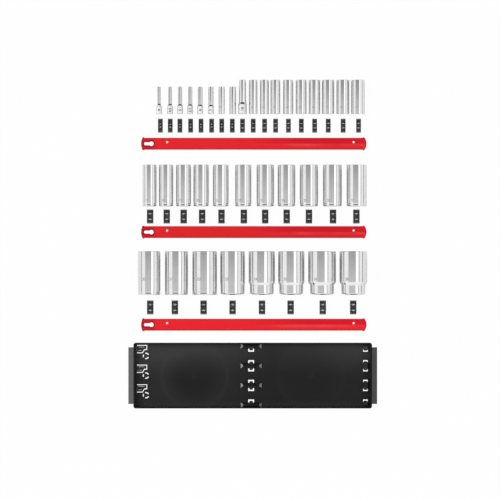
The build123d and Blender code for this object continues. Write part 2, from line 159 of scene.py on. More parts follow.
def corners_of(mesh):
    """The places of a mesh's corners, one row of X, Y and Z for each."""
    corners = np.empty(3 * len(mesh.vertices), np.float32)
    mesh.vertices.foreach_get("co", corners)
    return corners.reshape(-1, 3)


def note(mesh, name, values):
    """Keeps one number at each corner of a mesh for its material to read."""
    attribute = mesh.attributes.new(name, "FLOAT", "POINT")
    attribute.data.foreach_set("value", np.asarray(values, np.float32))


def colour(code):
    """A six digit sRGB code as linear light: a 2.4 power above a short straight foot."""
    shares = [int(code[place : place + 2], 16) / 255 for place in (0, 2, 4)]
    light = [c / 12.92 if c <= 0.04045 else ((c + 0.055) / 1.055) ** 2.4 for c in shares]
    return (*light, 1)


def add(tree, kind, links=(), values=(), **settings):
    """Adds one node with its settings, its inputs' values and links from other outputs."""
    made = tree.nodes.new(kind)
    for setting, value in settings.items():
        setattr(made, setting, value)
    for inlet, value in dict(values).items():
        made.inputs[inlet].default_value = value
    for inlet, source in dict(links).items():
        tree.links.new(source, made.inputs[inlet])
    return made


def start_material(name, roughness, metallic=0, specular=0.5):
    """A material, its node tree, its main shader and the place on the object in metres."""
    made = bpy.data.materials.new(name)
    made.use_nodes = True
    tree = made.node_tree
    shader = tree.nodes["Principled BSDF"]
    shader.inputs["Roughness"].default_value = roughness
    shader.inputs["Metallic"].default_value = metallic
    shader.inputs["Specular IOR Level"].default_value = specular
    return made, tree, shader, add(tree, "ShaderNodeTexCoord").outputs["Object"]


def moulded_plastic(tree, shader, place, shades, share, grain, depth):
    """Thermoplastic from a mould: two shades mixed by a share, and the mould's fine grain."""
    fine = add(tree, "ShaderNodeTexNoise", {"Vector": place}, {"Scale": 1 / grain, "Detail": 3})
    shade = add(
        tree,
        "ShaderNodeMix",
        {0: share},
        {6: colour(shades[0]), 7: colour(shades[1])},
        data_type="RGBA",
    )
    bump = add(
        tree,
        "ShaderNodeBump",
        {"Height": fine.outputs["Fac"]},
        {"Strength": 0.5, "Distance": depth},
    )
    tree.links.new(shade.outputs[2], shader.inputs["Base Color"])
    tree.links.new(bump.outputs["Normal"], shader.inputs["Normal"])
    return shade, bump


def sheen_plastic(name, shades, grain, depth):
    """The same plastic painted paler as painted sheen and highlight, in soft patches of two
    shades.
    """
    made, tree, shader, place = start_material(name, 0.5, specular=0.25)
    tone_patches = add(tree, "ShaderNodeTexNoise", {"Vector": place}, {"Scale": 1 / (4 * mm)})
    tone_patches = tone_patches.outputs["Fac"]
    shade = moulded_plastic(tree, shader, place, shades, tone_patches, grain, depth)[0]
    return made, tree, shader, place, shade


tray = merged("tray", "tray_moulding")
soften_edges(tray, tray_edge_radius)
tray_low, tray_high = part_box("tray")
tray_depth = tray_high.y - tray_low.y

abs_plastic, tree, shader, place = start_material(
    "abs_spark_eroded", tray_roughness[0], specular=0.25
)
axes = add(tree, "ShaderNodeSeparateXYZ", {"Vector": place}).outputs
# Painted light on the floor: it is painted paler towards the back, near the front wall and away
# from the middle, as light falls on it.
back_half = add(
    tree,
    "ShaderNodeMapRange",
    {"Value": axes["Y"]},
    {"From Min": tray_low.y + tray_pale_start * tray_depth, "From Max": tray_high.y},
    interpolation_type="SMOOTHSTEP",
)
from_middle = add(
    tree, "ShaderNodeMath", {0: axes["X"]}, {1: tray_pale_middle}, operation="SUBTRACT"
)
from_middle = add(tree, "ShaderNodeMath", {0: from_middle.outputs[0]}, operation="ABSOLUTE")
towards_ends = add(
    tree,
    "ShaderNodeMapRange",
    {"Value": from_middle.outputs[0]},
    {"From Max": tray_pale_reach, "To Min": tray_middle_share},
)
off_gate = add(tree, "ShaderNodeMath", {0: axes["X"]}, operation="ABSOLUTE")
off_gate = add(
    tree, "ShaderNodeMath", {0: off_gate.outputs[0]}, {1: gate_place}, operation="SUBTRACT"
)
off_line = add(
    tree,
    "ShaderNodeMath",
    {0: axes["Y"]},
    {1: (tray_low.y + tray_high.y) / 2},
    operation="SUBTRACT",
)
off_gate = add(
    tree, "ShaderNodeCombineXYZ", {"X": off_gate.outputs[0], "Y": off_line.outputs[0]}
)
off_gate = add(
    tree, "ShaderNodeVectorMath", {0: off_gate.outputs[0]}, operation="LENGTH"
).outputs["Value"]
blush = add(
    tree,
    "ShaderNodeMapRange",
    {"Value": off_gate},
    {"From Min": gate_blush[0], "From Max": gate_blush[1], "To Max": gate_blush_share},
    interpolation_type="SMOOTHSTEP",
)
off_ring = add(tree, "ShaderNodeMath", {0: off_gate}, {1: gate_ring}, operation="SUBTRACT")
off_ring = add(tree, "ShaderNodeMath", {0: off_ring.outputs[0]}, operation="ABSOLUTE")
ring = add(
    tree,
    "ShaderNodeMapRange",
    {"Value": off_ring.outputs[0]},
    {"From Max": gate_ring_width, "To Min": gate_ring_share, "To Max": 0},
    interpolation_type="SMOOTHSTEP",
)
spot = add(
    tree,
    "ShaderNodeMapRange",
    {"Value": off_gate},
    {"From Max": gate_spot, "To Min": gate_spot_share, "To Max": 0},
    interpolation_type="SMOOTHSTEP",
)
front_edge = add(
    tree,
    "ShaderNodeMapRange",
    {"Value": axes["Y"]},
    {
        "From Min": tray_low.y + tray_front_pale[0],
        "From Max": tray_low.y + tray_front_pale[1],
        "To Min": tray_front_share,
        "To Max": 0,
    },
    interpolation_type="SMOOTHSTEP",
)
left_gate = add(
    tree,
    "ShaderNodeMapRange",
    {"Value": axes["X"]},
    {
        "From Min": -gates_apart,
        "From Max": gates_apart,
        "To Min": 1,
        "To Max": right_gate_share,
    },
)
ring = add(
    tree,
    "ShaderNodeMath",
    {0: ring.outputs["Result"], 1: left_gate.outputs["Result"]},
    operation="MULTIPLY",
)
blush = add(
    tree,
    "ShaderNodeMath",
    {0: blush.outputs["Result"], 1: left_gate.outputs["Result"]},
    operation="MULTIPLY",
)
pale_share = add(
    tree,
    "ShaderNodeMath",
    {0: back_half.outputs["Result"], 1: blush.outputs[0]},
    operation="ADD",
)
pale_share = add(
    tree,
    "ShaderNodeMath",
    {0: pale_share.outputs[0], 1: towards_ends.outputs["Result"]},
    operation="MULTIPLY",
)
for extra in (ring, spot, front_edge):
    pale_share = add(
        tree,
        "ShaderNodeMath",
        {0: pale_share.outputs[0], 1: extra.outputs[0]},
        operation="ADD",
    )
shade, bump = moulded_plastic(
    tree,
    shader,
    place,
    (tray_dark, tray_pale),
    pale_share.outputs[0],
    tray_grain,
    tray_grain_depth,
)
rim = add(
    tree,
    "ShaderNodeMath",
    {0: axes["Z"]},
    {1: tray_high.z - tray_rim_depth},
    operation="GREATER_THAN",
)
shade = add(
    tree,
    "ShaderNodeMix",
    {0: rim.outputs[0], 6: shade.outputs[2]},
    {7: colour(tray_rim)},
    data_type="RGBA",
)
# Painted sheen: the grips are painted paler than the floor, the left more than the right, across
# their fine lines.
for start, side, grip_shade in (
    (-tray_grip_start, "LESS_THAN", tray_left_grip),
    (tray_grip_start, "GREATER_THAN", tray_right_grip),
):
    grip = add(tree, "ShaderNodeMath", {0: axes["X"]}, {1: start}, operation=side)
    lines = add(
        tree,
        "ShaderNodeTexWave",
        {"Vector": place},
        {"Scale": pi / (10 * tray_grip_line), "Distortion": 2, "Detail Scale": 2},
        bands_direction="X",
    )
    strength = add(
        tree,
        "ShaderNodeMapRange",
        {"Value": lines.outputs["Fac"]},
        {"To Min": tray_grip_line_share},
    )
    strength = add(
        tree,
        "ShaderNodeMath",
        {0: strength.outputs["Result"], 1: grip.outputs[0]},
        operation="MULTIPLY",
    )
    shade = add(
        tree,
        "ShaderNodeMix",
        {0: strength.outputs[0], 6: shade.outputs[2]},
        {7: colour(grip_shade)},
        data_type="RGBA",
    )
from_centre = add(tree, "ShaderNodeMath", {0: axes["X"]}, operation="ABSOLUTE")
strips = add(
    tree,
    "ShaderNodeMath",
    {0: from_centre.outputs[0]},
    {1: tray_high.x - tray_end_strip},
    operation="GREATER_THAN",
)
rough = add(
    tree,
    "ShaderNodeMapRange",
    {"Value": strips.outputs[0]},
    {"To Min": tray_roughness[0], "To Max": tray_roughness[1]},
)
pits = add(
    tree, "ShaderNodeTexNoise", {"Vector": place}, {"Scale": 1 / tray_strip_grain, "Detail": 1}
)
strip_bump = add(
    tree,
    "ShaderNodeBump",
    {
        "Height": pits.outputs["Fac"],
        "Strength": strips.outputs[0],
        "Normal": bump.outputs["Normal"],
    },
    {"Distance": tray_strip_depth},
)
tree.links.new(shade.outputs[2], shader.inputs["Base Color"])
tree.links.new(rough.outputs["Result"], shader.inputs["Roughness"])
tree.links.new(strip_bump.outputs["Normal"], shader.inputs["Normal"])
# Painted highlight and sheen: the ribs' tops, the ridges' ends and the ridges' sloped sides get
# paler plastic.
sheen_abs = sheen_plastic(
    "abs_sheen_pale", (ridge_end_dark, ridge_end_pale), tray_grain, tray_grain_depth
)[0]
ridge_abs = sheen_plastic(
    "abs_ridge_sides", (ridge_side_dark, ridge_side_pale), tray_grain, tray_grain_depth
)[0]
ridge_end_abs, tree, shader, place, shade = sheen_plastic(
    "abs_ridge_ends", (ridge_end_dark, ridge_end_pale), tray_grain, tray_grain_depth
)
axes = add(tree, "ShaderNodeSeparateXYZ", {"Vector": place}).outputs
for start, end in (
    (ridge_end_heights[1], ridge_end_heights[0]),
    (ridge_end_heights[2], ridge_end_heights[3]),
):
    faded = add(
        tree,
        "ShaderNodeMapRange",
        {"Value": axes["Z"]},
        {"From Min": start, "From Max": end},
        interpolation_type="SMOOTHSTEP",
    )
    shade = add(
        tree,
        "ShaderNodeMix",
        {0: faded.outputs["Result"], 6: shade.outputs[2]},
        {7: colour(tray_pale)},
        data_type="RGBA",
    )
tree.links.new(shade.outputs[2], shader.inputs["Base Color"])
for material in (abs_plastic, ridge_end_abs, ridge_abs):
    tray.data.materials.append(material)
ways = faces_of(tray)[0]
sloped = (ways[:, 2] > ridge_slopes[0]) & (ways[:, 2] < ridge_slopes[1])
ridge_ends = sloped & (np.abs(ways[:, 0]) > ridge_end_lean)
ridge_sides = sloped & (np.abs(ways[:, 1]) > ridge_side_lean)
tray.data.polygons.foreach_set("material_index", ridge_ends * 1 + ridge_sides * 2)
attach(tray, "tray")
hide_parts("tray")

# Each latch is a tongue of the same black ABS, cut free on three sides in the mould, with two
# ribs across its top that stop the rail's end; the ribs' tops are painted pale as a painted
# highlight. It flares a little to its tip, and above the hinge its root closes the gap that
# the real one lacks.
latch_edge_radius = 0.15 * mm
rib_top_lean = 0.9
latch_root_reach = 0.24 * mm
latch_spread = 0.22 * mm
latch_hinge_height = 4.45 * mm
for row in ("front", "middle", "back"):
    latch = merged(f"{row}_latch", f"{row}_latch_tongue")
    low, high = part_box(f"{row}_latch")
    corners = corners_of(latch.data)
    along = (corners[:, 0] - low.x) / (high.x - low.x)
    above = corners[:, 2] > latch_hinge_height
    corners[:, 0] += along * latch_spread - (1 - along) * latch_root_reach * above
    middle = (low.y + high.y) / 2
    corners[:, 1] += (corners[:, 1] - middle) / (high.y - middle) * latch_spread
    latch.data.vertices.foreach_set("co", corners.reshape(-1))
    soften_edges(latch, latch_edge_radius)
    latch.data.materials.append(abs_plastic)
    latch.data.materials.append(sheen_abs)
    ways, middles = faces_of(latch)
    # The ribs' tops get the pale plastic, a painted highlight.
    rib_tops = (ways[:, 2] > rib_top_lean) & (middles[:, 2] > high.z - latch_edge_radius)
    latch.data.polygons.foreach_set("material_index", rib_tops.astype(np.int32))
    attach(latch, f"{row}_latch")
    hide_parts(f"{row}_latch")

# Each rail is an aluminium extrusion, sawn, punched and anodised in a red dye. The oxide layer
# leaves a satin metal whose die lines run along the rail. Its red is painted darker as painted
# shade in and round the punched recess, near the punched end, on the end stops, along the
# edges and at the back of the right half, and a painted highlight streaks along the right half.
rail_edge_radius = 0.12 * mm
rail_bright = "F82129"
rail_darker = "E20820"
rail_back_edge = "B80A1E"
rail_front_edge = "D80A20"
rail_recess = "A80618"
rail_left_stop = "C40624"
rail_right_stop = "D80A28"
rail_streak = "FF6A6C"
die_line = 0.5 * mm
die_line_stretch = 0.02
die_line_depth = 0.01 * mm
rail_width = 22 * mm
rail_stop = 3.2 * mm
rail_sunk = 0.25 * mm
rail_punched = (22 * mm, 27 * mm)
rail_darker_start = (-30 * mm, 110 * mm)
rail_darker_side = (-0.1, 0.14)
rail_streak_side = -0.2
rail_streak_reach = 0.4
rail_streak_patch = 60 * mm
rail_streak_share = 0.32
rail_edge_lines = (0.84, 0.94)
rail_edge_share = 0.85
keyhole_places = (8.1 * mm, 19 * mm)
recess_reaches = (4.65 * mm, 6.05 * mm)
recess_shade = 1.2 * mm
recess_shade_share = 0.9
rail_low, rail_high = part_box("front_rail")
anodised, tree, shader, place = start_material("anodised_aluminium_red", 0.45, 0.15, 0.3)
axes = add(tree, "ShaderNodeSeparateXYZ", {"Vector": place}).outputs
across = add(tree, "ShaderNodeAttribute", attribute_name="across").outputs["Fac"]
stretched = add(
    tree,
    "ShaderNodeMapping",
    {"Vector": place},
    {"Scale": (die_line_stretch / die_line, 1 / die_line, 1 / die_line)},
)
lines = add(
    tree, "ShaderNodeTexNoise", {"Vector": stretched.outputs[0]}, {"Scale": 1, "Detail": 2}
)
# Painted shade: the red is painted darker at the back of the right half and round the punched
# end; the die lines add their own darker tone.
right_half = add(
    tree,
    "ShaderNodeMapRange",
    {"Value": axes["X"]},
    {"From Min": rail_darker_start[0], "From Max": rail_darker_start[1]},
    interpolation_type="SMOOTHSTEP",
)
back_side = add(
    tree,
    "ShaderNodeMapRange",
    {"Value": across},
    {"From Min": rail_darker_side[0], "From Max": rail_darker_side[1]},
    interpolation_type="SMOOTHSTEP",
)
darker = add(
    tree,
    "ShaderNodeMath",
    {0: right_half.outputs["Result"], 1: back_side.outputs["Result"]},
    operation="MULTIPLY",
)
punched = add(
    tree,
    "ShaderNodeMapRange",
    {"Value": axes["X"]},
    {
        "From Min": rail_low.x + rail_punched[0],
        "From Max": rail_low.x + rail_punched[1],
        "To Min": 1,
        "To Max": 0,
    },
    interpolation_type="SMOOTHSTEP",
)
darker = add(
    tree,
    "ShaderNodeMath",
    {0: darker.outputs[0], 1: punched.outputs["Result"]},
    operation="MAXIMUM",
)
darker = add(
    tree,
    "ShaderNodeMapRange",
    {"Value": lines.outputs["Fac"], "To Min": darker.outputs[0]},
    {"From Min": 0.3, "From Max": 1.6},
)
shade = add(
    tree,
    "ShaderNodeMix",
    {0: darker.outputs["Result"]},
    {6: colour(rail_bright), 7: colour(rail_darker)},
    data_type="RGBA",
)
# Painted highlight: a pale streak runs along the right half, in patches.
from_streak = add(
    tree, "ShaderNodeMath", {0: across}, {1: rail_streak_side}, operation="SUBTRACT"
)
from_streak = add(tree, "ShaderNodeMath", {0: from_streak.outputs[0]}, operation="ABSOLUTE")
streak = add(
    tree,
    "ShaderNodeMapRange",
    {"Value": from_streak.outputs[0], "To Min": right_half.outputs["Result"]},
    {"From Max": rail_streak_reach, "To Max": 0},
    interpolation_type="SMOOTHSTEP",
)
sheen = add(tree, "ShaderNodeTexNoise", {"Vector": place}, {"Scale": 1 / rail_streak_patch})
sheen = add(
    tree,
    "ShaderNodeMapRange",
    {"Value": sheen.outputs["Fac"]},
    {"From Min": 0.35, "From Max": 0.65, "To Max": rail_streak_share},
)
streak = add(
    tree,
    "ShaderNodeMath",
    {0: streak.outputs["Result"], 1: sheen.outputs["Result"]},
    operation="MULTIPLY",
)
shade = add(
    tree,
    "ShaderNodeMix",
    {0: streak.outputs[0], 6: shade.outputs[2]},
    {7: colour(rail_streak)},
    data_type="RGBA",
)
# Painted shade along both edges, darker at the back.
for side, edge_shade in ((1, rail_back_edge), (-1, rail_front_edge)):
    edges = add(
        tree,
        "ShaderNodeMapRange",
        {"Value": across},
        {
            "From Min": side * rail_edge_lines[0],
            "From Max": side * rail_edge_lines[1],
            "To Max": rail_edge_share,
        },
    )
    shade = add(
        tree,
        "ShaderNodeMix",
        {0: edges.outputs["Result"], 6: shade.outputs[2]},
        {7: colour(edge_shade)},
        data_type="RGBA",
    )
# Painted shade on the two end stops.
for operation, line, stop_shade in (
    ("LESS_THAN", rail_low.x + rail_stop, rail_left_stop),
    ("GREATER_THAN", rail_high.x - rail_stop, rail_right_stop),
):
    stop = add(tree, "ShaderNodeMath", {0: axes["X"]}, {1: line}, operation=operation)
    shade = add(
        tree,
        "ShaderNodeMix",
        {0: stop.outputs[0], 6: shade.outputs[2]},
        {7: colour(stop_shade)},
        data_type="RGBA",
    )
# Painted shade on the sunk faces of the recess, and in a ring round it on the top.
sunk = add(
    tree,
    "ShaderNodeMath",
    {0: axes["Z"]},
    {1: rail_high.z - rail_sunk},
    operation="LESS_THAN",
)
shade = add(
    tree,
    "ShaderNodeMix",
    {0: sunk.outputs[0], 6: shade.outputs[2]},
    {7: colour(rail_recess)},
    data_type="RGBA",
)
off_middle = add(tree, "ShaderNodeMath", {0: across}, {1: rail_width / 2}, operation="MULTIPLY")
off_keyhole = []
for start, reach in zip(keyhole_places, recess_reaches):
    nearest = add(
        tree,
        "ShaderNodeClamp",
        {"Value": axes["X"]},
        {"Min": rail_low.x + start, "Max": rail_low.x + keyhole_places[1]},
    )
    off_nearest = add(
        tree, "ShaderNodeMath", {0: axes["X"], 1: nearest.outputs[0]}, operation="SUBTRACT"
    )
    off_nearest = add(
        tree,
        "ShaderNodeCombineXYZ",
        {"X": off_nearest.outputs[0], "Y": off_middle.outputs[0]},
    )
    off_nearest = add(
        tree, "ShaderNodeVectorMath", {0: off_nearest.outputs[0]}, operation="LENGTH"
    )
    off_nearest = add(
        tree,
        "ShaderNodeMath",
        {0: off_nearest.outputs["Value"]},
        {1: reach},
        operation="SUBTRACT",
    )
    off_keyhole.append(off_nearest.outputs[0])
off_recess = add(
    tree, "ShaderNodeMath", {0: off_keyhole[0], 1: off_keyhole[1]}, operation="MINIMUM"
)
recess_shaded = add(
    tree,
    "ShaderNodeMapRange",
    {"Value": off_recess.outputs[0]},
    {"From Max": recess_shade, "To Min": recess_shade_share, "To Max": 0},
    interpolation_type="SMOOTHSTEP",
)
shade = add(
    tree,
    "ShaderNodeMix",
    {0: recess_shaded.outputs["Result"], 6: shade.outputs[2]},
    {7: colour(rail_recess)},
    data_type="RGBA",
)
bump = add(
    tree,
    "ShaderNodeBump",
    {"Height": lines.outputs["Fac"]},
    {"Strength": 0.3, "Distance": die_line_depth},
)
tree.links.new(shade.outputs[2], shader.inputs["Base Color"])
tree.links.new(bump.outputs["Normal"], shader.inputs["Normal"])
for row in ("front", "middle", "back"):
    rail = merged(f"{row}_rail", f"{row}_rail_extrusion")
    low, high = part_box(f"{row}_rail")
    corners = corners_of(rail.data)
    note(rail.data, "across", (corners[:, 1] - (low.y + high.y) / 2) / (rail_width / 2))
    soften_edges(rail, rail_edge_radius)
    rail.data.materials.append(anodised)
    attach(rail, f"{row}_rail")
    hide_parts(f"{row}_rail")

# Each clip is moulded in black glass filled nylon, which stays springy where it wraps the
# rail. The glass at the surface leaves it duller than the tray. Its slopes are painted pale as
# painted sheen, and the front and back of each post's top carry a painted white highlight.
clip_edge_radius = 0.2 * mm
clip_edge_turn = 20
clip_slopes = (0.3, 0.5)
clip_dark = "242426"
clip_pale = "404042"
clip_sheen_dark = "5A5A5C"
clip_sheen_pale = "787879"
clip_highlit = "F0F0F0"
clip_grain = 0.3 * mm
clip_grain_depth = 0.02 * mm
clip_scuff = 6 * mm
highlit_reach = (0.55, 0.38)
highlit_fade = (0.7, 1.05)
highlit_depth = 0.1
post_widths = {
    "quarter_inch": 5.66 * mm,
    "three_eighths": 8.84 * mm,
    "half_inch": 12.02 * mm,
    "large_half_inch": 12.02 * mm,
}


def strip_sides(node):
    """The left and the right sides of a row of narrow pieces, two for each piece."""
    sides = np.unique(np.round(corners_of(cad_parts[node].data)[:, 0], 6))
    return sides[0::2], sides[1::2]


nylon, tree, shader, place = start_material("glass_filled_nylon", 0.45, specular=0.35)
scuffs = add(tree, "ShaderNodeTexNoise", {"Vector": place}, {"Scale": 1 / clip_scuff})
share = add(
    tree,
    "ShaderNodeMapRange",
    {"Value": scuffs.outputs["Fac"]},
    {"From Min": 0.35, "From Max": 0.7},
)
shade = moulded_plastic(
    tree,
    shader,
    place,
    (clip_dark, clip_pale),
    share.outputs["Result"],
    clip_grain,
    clip_grain_depth,
)[0]
# Painted highlight: the front and back of each post's top are painted near white.
post = add(tree, "ShaderNodeAttribute", attribute_name="post").outputs["Vector"]
post_fit = add(tree, "ShaderNodeAttribute", attribute_name="post_fit").outputs["Fac"]
on_post = add(tree, "ShaderNodeVectorMath", {0: place, 1: post}, operation="SUBTRACT")
on_post = add(
    tree, "ShaderNodeVectorMath", {0: on_post.outputs[0], "Scale": post_fit}, operation="SCALE"
)
axes = add(tree, "ShaderNodeSeparateXYZ", {"Vector": on_post.outputs[0]}).outputs
off_side = add(tree, "ShaderNodeMath", {0: axes["X"]}, {1: highlit_reach[0]}, operation="DIVIDE")
off_edge = add(tree, "ShaderNodeMath", {0: axes["Y"]}, operation="ABSOLUTE")
off_edge = add(tree, "ShaderNodeMath", {0: off_edge.outputs[0]}, {1: 1}, operation="SUBTRACT")
off_edge = add(
    tree, "ShaderNodeMath", {0: off_edge.outputs[0]}, {1: highlit_reach[1]}, operation="DIVIDE"
)
off_edge = add(
    tree, "ShaderNodeCombineXYZ", {"X": off_side.outputs[0], "Y": off_edge.outputs[0]}
)
off_edge = add(tree, "ShaderNodeVectorMath", {0: off_edge.outputs[0]}, operation="LENGTH")
highlit = add(
    tree,
    "ShaderNodeMapRange",
    {"Value": off_edge.outputs["Value"]},
    {"From Min": highlit_fade[0], "From Max": highlit_fade[1], "To Min": 1, "To Max": 0},
    interpolation_type="SMOOTHSTEP",
)
on_top = add(
    tree, "ShaderNodeMath", {0: axes["Z"]}, {1: -highlit_depth}, operation="GREATER_THAN"
)
highlit = add(
    tree,
    "ShaderNodeMath",
    {0: highlit.outputs["Result"], 1: on_top.outputs[0]},
    operation="MULTIPLY",
)
shade = add(
    tree,
    "ShaderNodeMix",
    {0: highlit.outputs[0], 6: shade.outputs[2]},
    {7: colour(clip_highlit)},
    data_type="RGBA",
)
tree.links.new(shade.outputs[2], shader.inputs["Base Color"])
sheen_nylon = sheen_plastic(
    "nylon_sheen_pale", (clip_sheen_dark, clip_sheen_pale), clip_grain, clip_grain_depth
)[0]
families = ("large_half_inch", "half_inch", "quarter_inch", "three_eighths")
for family in families:
    clips = merged(f"{family}_clips", f"{family}_clip_mouldings")
    low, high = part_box(f"{family}_clips")
    starts, ends = strip_sides(f"{family}_leaves")
    across = corners_of(clips.data)[:, :1]
    nearest = np.abs(across - (starts + ends) / 2).argmin(axis=1)
    posts = np.empty((len(across), 3), np.float32)
    posts[:, 0] = ((starts + ends) / 2)[nearest]
    posts[:, 1:] = (low.y + high.y) / 2, high.z
    post = clips.data.attributes.new("post", "FLOAT_VECTOR", "POINT")
    post.data.foreach_set("vector", posts.reshape(-1))
    note(clips.data, "post_fit", np.full(len(posts), 2 / post_widths[family]))
    soften_edges(clips, clip_edge_radius, clip_edge_turn)
    clips.data.materials.append(nylon)
    clips.data.materials.append(sheen_nylon)
    # The sloped faces get the pale plastic, a painted sheen.
    ways = faces_of(clips)[0]
    slopes = (np.abs(ways[:, 1]) > clip_slopes[0]) & (ways[:, 2] > clip_slopes[1])
    clips.data.polygons.foreach_set("material_index", slopes.astype(np.int32))
    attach(clips, f"{family}_clips")
    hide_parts(f"{family}_clips")

# The leaves in each post are strips of hardened spring steel, pressed out to a smooth crown
# that snaps into the recess in a socket's square, and polished so that they slide in.
leaf_steps = (25, 13)
leaf_bend_share = 0.588
leaf_crown_share = 0.45
leaf_edge_turn = 50
leaf_bright = "FAFAFA"
leaf_soft = "E6E6E8"
leaf_grain = 0.6 * mm


def leaf_strips(name, starts, ends, inner, ridge, low, high):
    """Pressed leaves side by side, each a strip with a smooth crown in front of a flat back.

    Up the leaf, at share t of its height, the crown stands out by the sine of pi times t
    raised to the power that puts its top at the bend. Across it, at share u of its width, it
    falls off by the fourth power of the distance from its middle.
    """
    t = np.linspace(0, 1, leaf_steps[0])
    u = np.linspace(-1, 1, leaf_steps[1])
    out = np.sin(pi * t ** (np.log(0.5) / np.log(leaf_bend_share)))[:, None]
    out = out * (1 - leaf_crown_share * u**4)
    middles = (starts + ends) / 2
    widths = (ends - starts) / 2
    front = np.empty((len(starts), *out.shape, 3))
    front[..., 0] = middles[:, None, None] + widths[:, None, None] * u
    front[..., 1] = inner + (ridge - inner) * out
    front[..., 2] = (low + (high - low) * t)[:, None]
    rear = front.copy()
    rear[..., 1] = inner
    points = np.concatenate([front, rear[:, :, ::-1]], axis=2)
    count, rows, columns = points.shape[:3]
    number = np.arange(count * rows * columns).reshape(count, rows, columns)
    beside = np.roll(number, -1, axis=2)
    faces = np.stack([number[:, :-1], beside[:, :-1], beside[:, 1:], number[:, 1:]], axis=-1)
    mesh = bpy.data.meshes.new(name)
    mesh.from_pydata(points.reshape(-1, 3), [], faces.reshape(-1, 4).tolist())
    mesh.validate()
    mesh.shade_smooth()
    mesh.set_sharp_from_angle(angle=radians(leaf_edge_turn))
    piece = bpy.data.objects.new(name, mesh)
    bpy.context.scene.collection.objects.link(piece)
    return piece


spring_steel, tree, shader, place = start_material("spring_steel_satin", 0.6, 0.12, 0.3)
grain = add(tree, "ShaderNodeTexNoise", {"Vector": place}, {"Scale": 1 / leaf_grain})
shade = add(
    tree,
    "ShaderNodeMix",
    {0: grain.outputs["Fac"]},
    {6: colour(leaf_bright), 7: colour(leaf_soft)},
    data_type="RGBA",
)
tree.links.new(shade.outputs[2], shader.inputs["Base Color"])
for family in families:
    for group, side in (("leaves", 1), ("near_leaves", -1)):
        node = f"{family}_{group}"
        low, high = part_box(node)
        starts, ends = strip_sides(node)
        inner, ridge = (low.y, high.y) if side > 0 else (high.y, low.y)
        leaves = leaf_strips(f"{node}_springs", starts, ends, inner, ridge, low.z, high.z)
        leaves.data.materials.append(spring_steel)
        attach(leaves, node)
        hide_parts(node)

# Each socket is forged and turned from chrome vanadium steel, its square and its hexagon
# broached, then barrel polished and plated with bright chrome over nickel. A waisted one has
# two arched fields on its hub that are blasted. The size is marked on it with a laser.
ring_points = 96
ring_angles = np.arange(ring_points) * (2 * pi / ring_points)
square_far = 1 / np.cos((ring_angles + pi / 4) % (pi / 2) - pi / 4)
hexagon_far = 1 / np.cos(ring_angles % (pi / 3) - pi / 6)
ring_shapes = np.array([np.ones_like(ring_angles), square_far, hexagon_far])
circle, square, hexagon = 0, 1, 2
figure_slice = 0.4 * mm
figure_lift = 0.04 * mm
figure_bold = 0.035
figure_share = 0.73


def rounded(corners, reaches, steps=6):
    """A line with its corners rounded off, each along a parabola.

    Round corner C the line leaves at A, a first reach before it, and comes back at B, a second
    reach after it: (1 - t) squared times A, plus 2t(1 - t) times C, plus t squared times B.
    """
    corners = np.asarray(corners, float)
    t = np.linspace(0, 1, steps)[:, None]
    line = [corners[:1]]
    for before, corner, after, (first, second) in zip(
        corners, corners[1:], corners[2:], reaches
    ):
        leave = corner + (before - corner) * (first / np.linalg.norm(before - corner))
        back = corner + (after - corner) * (second / np.linalg.norm(after - corner))
        line.append((1 - t) ** 2 * leave + 2 * t * (1 - t) * corner + t**2 * back)
    return np.concatenate([*line, corners[-1:]])


def turned(centre, along, across, shapes):
    """The points and faces of a closed turned body round an axis along Y, as rings.

    Ring i lies at along[i]. Its points stand off the axis by across[i] times what its shape
    says for their angle: 1 on a circle, and on a polygon 1 over the cosine of the angle from
    the middle of the side. The last ring joins the first.
    """
    far = across[:, None] * ring_shapes[shapes]
    points = np.empty((*far.shape, 3))
    points[..., 0] = centre[0] + far * np.cos(ring_angles)
    points[..., 1] = along[:, None]
    points[..., 2] = centre[1] + far * np.sin(ring_angles)
    rows, columns = far.shape
    number = np.arange(rows * columns).reshape(rows, columns)
    up = np.roll(number, -1, axis=0)
    faces = np.stack([number, up, np.roll(up, -1, axis=1), np.roll(number, -1, axis=1)], -1)
    return points.reshape(-1, 3), faces.reshape(-1, 4)


def marked(words, tall, centre, place, radius, turn, upright):
    """The points and faces of plain figures laid round a body of a radius, just above it.

    A point at u round the body and v along it, from the middle of the figures, lies at the
    angle turn plus u over the radius from the top.
    """
    curve = bpy.data.curves.new("figures", "FONT")
    curve.body = words
    curve.size = tall / figure_share
    curve.offset = tall * figure_bold
    curve.align_x = "CENTER"
    curve.align_y = "CENTER"
    holder = bpy.data.objects.new("figures", curve)
    mesh = bpy.data.meshes.new_from_object(holder)
    work = bmesh.new()
    work.from_mesh(mesh)
    across = (1, 0, 0) if upright else (0, 1, 0)
    reach = max(tall, len(words) * tall)
    for step in np.arange(-reach, reach, figure_slice):
        bmesh.ops.bisect_plane(
            work,
            geom=work.verts[:] + work.edges[:] + work.faces[:],
            plane_co=[step * way for way in across],
            plane_no=across,
        )
    bmesh.ops.triangulate(work, faces=work.faces[:])
    work.to_mesh(mesh)
    work.free()
    flat = corners_of(mesh).astype(float)
    faces = np.empty(3 * len(mesh.polygons), np.int32)
    mesh.polygons.foreach_get("vertices", faces)
    bpy.data.objects.remove(holder)
    bpy.data.curves.remove(curve)
    bpy.data.meshes.remove(mesh)
    u, v = (flat[:, 0], flat[:, 1]) if upright else (-flat[:, 1], flat[:, 0])
    angle = turn + u / radius
    far = radius + figure_lift
    points = np.stack(
        [centre[0] + far * np.sin(angle), place + v, centre[1] + far * np.cos(angle)], axis=1
    )
    return points, faces.reshape(-1, 3)


